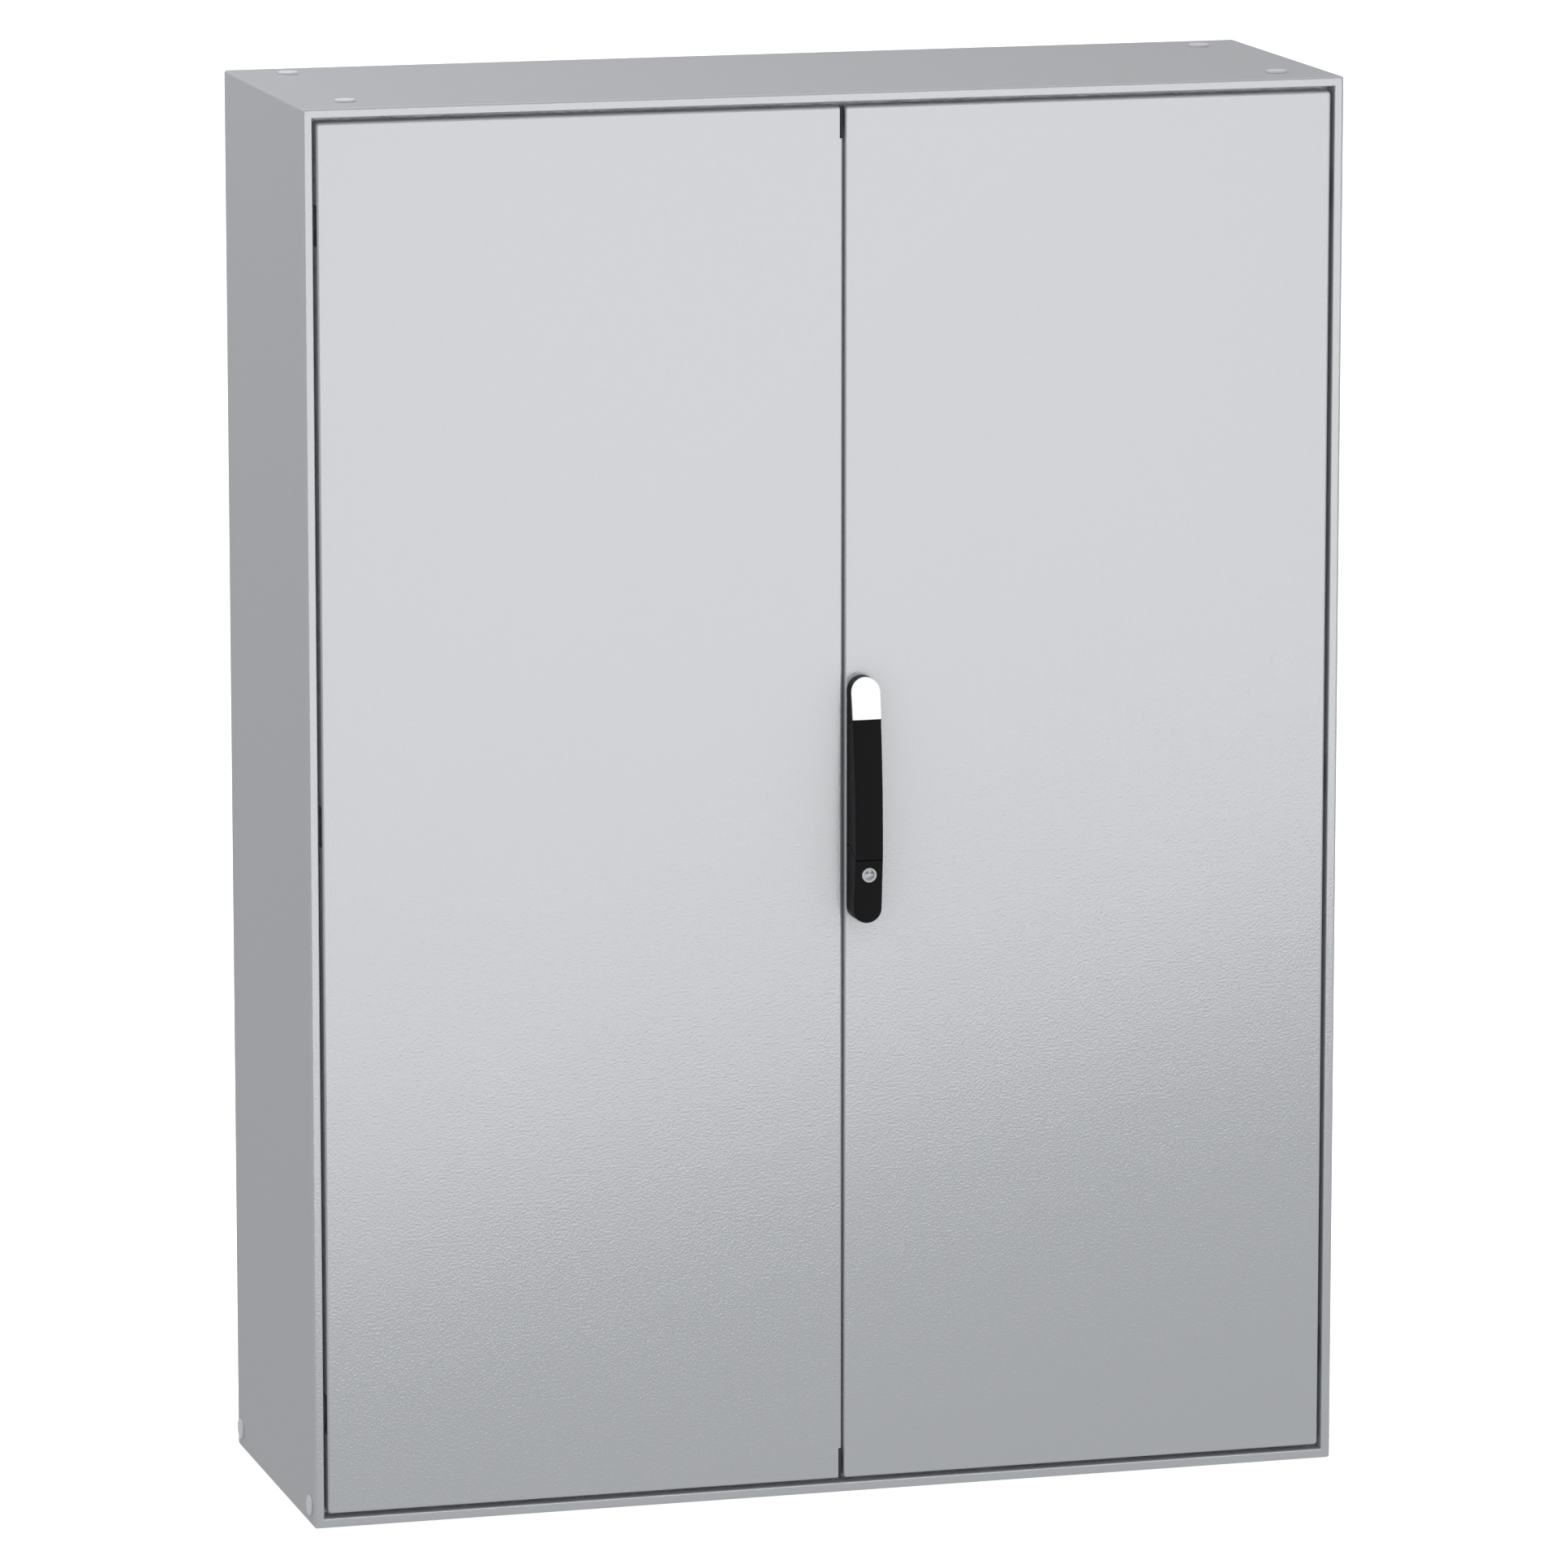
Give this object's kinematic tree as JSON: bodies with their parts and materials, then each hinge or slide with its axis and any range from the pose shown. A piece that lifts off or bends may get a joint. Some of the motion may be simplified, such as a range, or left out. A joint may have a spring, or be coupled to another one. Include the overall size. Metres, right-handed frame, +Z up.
{
  "type": "switchboard cabinet",
  "caption": "Tall double-door sheet-steel floor cabinet for switchgear, with a swing lever handle and rod lock on the right door.",
  "frame": {"origin": "middle of the base's footprint, on the floor", "axes": "+Z up along the cabinet's height, +Y from the doors towards the rear wall (its depth), +X to the right for a person facing the doors"},
  "size_m": [1.2056, 0.4369, 1.6028],
  "materials": {
    "casing_paint": "fine-textured light grey powder coat",
    "rear_paint": "fine-textured light grey powder coat",
    "left_door_paint": "fine-textured light grey powder coat",
    "right_door_paint": "fine-textured light grey powder coat",
    "plug_plastic": "moulded light grey",
    "galvanised_steel": "galvanised sheet",
    "zinc_screws": "bright zinc plate",
    "foam_seal": "foamed polyurethane",
    "handle_rubber": "flat rubber",
    "steel_pins": "ground steel",
    "earth_brass": "plain",
    "guide_plastic": "moulded black",
    "handle_plastic": "satin black",
    "cap_plastic": "glossy white",
    "lock_chrome": "polished with worn recess",
    "cast_zinc": "die-cast, uncoated",
    "gear_steel": "machined steel",
    "rod_steel": "zinc-plated flat bar"
  },
  "bodies": {
    "casing": {"casing_left_side": "casing_paint", "casing_right_side": "casing_paint", "casing_top": "casing_paint", "casing_bottom": "casing_paint", "casing_rear": "rear_paint", "top_plugs": "plug_plastic", "side_plugs": "plug_plastic", "gland_plates": "galvanised_steel", "gland_seals": "foam_seal", "gland_screws": "zinc_screws", "centre_post": "casing_paint", "centre_post_brackets": "galvanised_steel", "centre_post_screws": "zinc_screws", "left_hinge_arms": "galvanised_steel", "right_hinge_arms": "galvanised_steel", "hinge_screws": "zinc_screws", "hinge_pins": "steel_pins", "lock_keepers": "galvanised_steel", "mounting_plate": "galvanised_steel", "plate_studs": "zinc_screws", "plate_spacers": "galvanised_steel", "plate_nuts": "zinc_screws", "casing_earth_stud": "earth_brass"},
    "left_door": {"left_door_panel": "left_door_paint", "left_door_seal": "foam_seal", "left_door_stiffeners": "galvanised_steel", "left_hinge_lugs": "galvanised_steel", "left_door_edge_guides": "guide_plastic", "bolt_housings": "galvanised_steel", "left_door_earth_stud": "earth_brass"},
    "right_door": {"right_door_panel": "right_door_paint", "right_door_seal": "foam_seal", "right_door_stiffeners": "galvanised_steel", "right_hinge_lugs": "galvanised_steel", "handle_base": "handle_plastic", "handle_seal": "handle_rubber", "handle_screws": "zinc_screws", "gearbox_housing": "cast_zinc", "gearbox_cover": "galvanised_steel", "gearbox_screws": "zinc_screws", "transfer_axle": "steel_pins", "rod_guides": "guide_plastic", "right_door_earth_stud": "earth_brass"},
    "upper_bolt": {"upper_bolt": "rod_steel"},
    "lower_bolt": {"lower_bolt": "rod_steel"},
    "handle_head": {"handle_head": "handle_plastic", "head_cap": "cap_plastic", "handle_spindle": "steel_pins", "drive_gear": "gear_steel", "lever_pin": "steel_pins"},
    "handle_lever": {"handle_lever": "handle_plastic"},
    "lock": {"lock_insert": "lock_chrome", "lock_cam": "cast_zinc"},
    "transfer_gear": {"transfer_gear": "gear_steel"},
    "upper_rod": {"upper_rod": "rod_steel"},
    "lower_rod": {"lower_rod": "rod_steel"}
  },
  "joints": [
    {"name": "left_door_hinge", "type": "hinge", "parent": "casing", "child": "left_door", "pos_m": [-0.5785, -0.195, 0.8], "axis": [0, 0, -1], "range_deg": [0, 120]},
    {"name": "right_door_hinge", "type": "hinge", "parent": "casing", "child": "right_door", "pos_m": [0.5785, -0.195, 0.8], "axis": [0, 0, 1], "range_deg": [0, 120]},
    {"name": "handle_turn", "type": "hinge", "parent": "right_door", "child": "handle_head", "pos_m": [0.036, -0.2, 0.9265], "axis": [0, -1, 0], "range_deg": [0, 90]},
    {"name": "lever_lift", "type": "hinge", "parent": "handle_head", "child": "handle_lever", "pos_m": [0.036, -0.211, 0.912], "axis": [-1, 0, 0], "range_deg": [0, 25]},
    {"name": "lock_turn", "type": "hinge", "parent": "right_door", "child": "lock", "pos_m": [0.036, -0.225, 0.721], "axis": [0, -1, 0], "range_deg": [0, 90]},
    {"name": "transfer_turn", "type": "hinge", "parent": "right_door", "child": "transfer_gear", "pos_m": [0.05, -0.18, 0.9265], "axis": [0, -1, 0], "range_deg": [-90, 0]},
    {"name": "upper_rod_slide", "type": "slide", "parent": "right_door", "child": "upper_rod", "axis": [0, 0, -1], "range_m": [0, 0.0142]},
    {"name": "lower_rod_slide", "type": "slide", "parent": "right_door", "child": "lower_rod", "axis": [0, 0, 1], "range_m": [0, 0.0142]},
    {"name": "upper_bolt_slide", "type": "slide", "parent": "left_door", "child": "upper_bolt", "axis": [0, 0, -1], "range_m": [0, 0.018]},
    {"name": "lower_bolt_slide", "type": "slide", "parent": "left_door", "child": "lower_bolt", "axis": [0, 0, 1], "range_m": [0, 0.018]}
  ],
  "couplings": [
    {"joint": "transfer_turn", "follows": "handle_turn", "ratio": -1},
    {"joint": "upper_rod_slide", "follows": "handle_turn", "m_per_rad": 0.009},
    {"joint": "lower_rod_slide", "follows": "handle_turn", "m_per_rad": 0.009}
  ]
}
